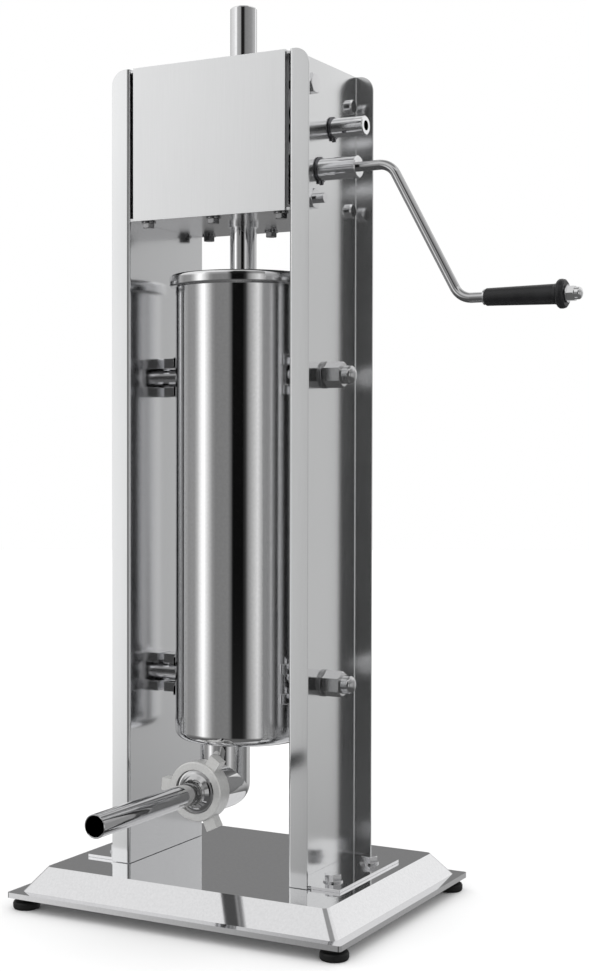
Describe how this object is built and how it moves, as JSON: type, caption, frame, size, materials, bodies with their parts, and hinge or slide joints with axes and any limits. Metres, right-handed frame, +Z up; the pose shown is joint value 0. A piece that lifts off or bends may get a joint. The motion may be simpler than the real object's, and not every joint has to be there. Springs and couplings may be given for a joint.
{
  "type": "sausage stuffer",
  "caption": "Vertical hand-cranked sausage stuffer: polished barrel between two channel columns, two-speed gearbox, toothed rack with piston, sheet base and removable stuffing tube.",
  "frame": {"origin": "centre of the footprint of the four feet at bench level, on the axis of the barrel and rack", "axes": "+Z up along the rack, -Y to the front where the stuffing tube points, +X to the crank side"},
  "size_m": [0.5705, 0.4245, 0.9425],
  "materials": {
    "polished_stainless": "mirror polished stainless steel",
    "brushed_stainless": "fine brushed stainless steel",
    "fastener_stainless": "bright turned stainless steel",
    "cast_stainless": "satin bead-blasted stainless steel",
    "gear_steel": "machined steel, greased",
    "spring_steel": "black oxide spring steel",
    "bush_steel": "turned stainless steel",
    "black_rubber": "moulded rubber",
    "black_plastic": "satin black moulded plastic",
    "white_silicone": "food-grade silicone"
  },
  "bodies": {
    "frame": {"base_pan": "polished_stainless", "base_gussets": "brushed_stainless", "base_stiffeners": "brushed_stainless", "rubber_feet": "black_rubber", "foot_screws": "fastener_stainless", "column_left": "brushed_stainless", "column_right": "brushed_stainless", "foot_plates": "fastener_stainless", "foot_bolts": "fastener_stainless", "foot_nuts": "fastener_stainless", "side_plates": "brushed_stainless", "bottom_plate": "brushed_stainless", "top_plate": "brushed_stainless", "front_cover": "brushed_stainless", "rear_cover": "brushed_stainless", "cover_bolts": "fastener_stainless", "cover_nuts": "fastener_stainless", "gearbox_bolts": "fastener_stainless", "gearbox_nuts": "fastener_stainless", "bearing_plates": "brushed_stainless", "rack_bush_lower": "bush_steel", "rack_bush_upper": "bush_steel", "shaft_bushes": "bush_steel", "barrel_shell": "polished_stainless", "barrel_floor": "polished_stainless", "barrel_rim": "polished_stainless", "barrel_brackets": "brushed_stainless", "pin_bolts": "polished_stainless", "pin_washers": "fastener_stainless", "pin_nuts": "polished_stainless", "outlet_elbow": "polished_stainless"},
    "rack_and_piston": {"rack_rod": "polished_stainless", "piston_disc": "polished_stainless", "piston_seal": "white_silicone", "piston_nut": "fastener_stainless"},
    "air_valve": {"air_valve": "polished_stainless"},
    "pinion_shaft": {"pinion_shaft": "gear_steel", "big_gear": "gear_steel", "fast_gear_driven": "gear_steel"},
    "slow_shaft": {"slow_shaft": "polished_stainless", "slow_circlip": "spring_steel"},
    "fast_shaft": {"fast_shaft": "polished_stainless", "fast_gear_driver": "gear_steel", "fast_circlip": "spring_steel"},
    "crank": {"crank_rod": "polished_stainless", "grip_washer": "fastener_stainless", "grip_nut": "polished_stainless"},
    "grip": {"crank_grip": "black_plastic"},
    "stuffing_tube": {"stuffing_tube": "polished_stainless", "tube_gasket": "white_silicone"},
    "ring_nut": {"ring_nut": "cast_stainless"}
  },
  "joints": [
    {"name": "rack_slide", "type": "slide", "parent": "frame", "child": "rack_and_piston", "axis": [0, 0, 1], "range_m": [0, 0.49]},
    {"name": "pinion_spin", "type": "hinge", "parent": "frame", "child": "pinion_shaft", "pos_m": [0.03, 0.023, 0.764], "axis": [1, 0, 0], "range_deg": [-2165, 5]},
    {"name": "slow_shaft_spin", "type": "hinge", "parent": "frame", "child": "slow_shaft", "pos_m": [0.09, 0.0165, 0.8108], "axis": [1, 0, 0], "range_deg": [-5, 7575]},
    {"name": "fast_shaft_spin", "type": "hinge", "parent": "frame", "child": "fast_shaft", "pos_m": [0.09, -0.0115, 0.764], "axis": [1, 0, 0], "range_deg": [-5, 2165]},
    {"name": "crank_pull", "type": "slide", "parent": "fast_shaft", "child": "crank", "axis": [1, 0, 0], "range_m": [0, 0.06]},
    {"name": "grip_spin", "type": "hinge", "parent": "crank", "child": "grip", "pos_m": [0.32, -0.0115, 0.6271], "axis": [1, 0, 0], "continuous": true},
    {"name": "air_valve_slide", "type": "slide", "parent": "rack_and_piston", "child": "air_valve", "axis": [0, 0, -1], "range_m": [0, 0.0025], "stiffness_N_per_m": 200, "springref_m": -0.002},
    {"name": "tube_slide", "type": "slide", "parent": "frame", "child": "stuffing_tube", "axis": [0, -1, 0], "range_m": [0, 0.016]},
    {"name": "ring_nut_turn", "type": "hinge", "parent": "stuffing_tube", "child": "ring_nut", "pos_m": [0, -0.088, 0.132], "axis": [0, -1, 0], "range_deg": [-5, 1445]}
  ],
  "couplings": [
    {"joint": "pinion_spin", "follows": "rack_slide", "rad_per_m": -76.923},
    {"joint": "fast_shaft_spin", "follows": "rack_slide", "rad_per_m": 76.923},
    {"joint": "slow_shaft_spin", "follows": "rack_slide", "rad_per_m": 269.23},
    {"joint": "ring_nut_turn", "follows": "tube_slide", "rad_per_m": 1570.8}
  ]
}
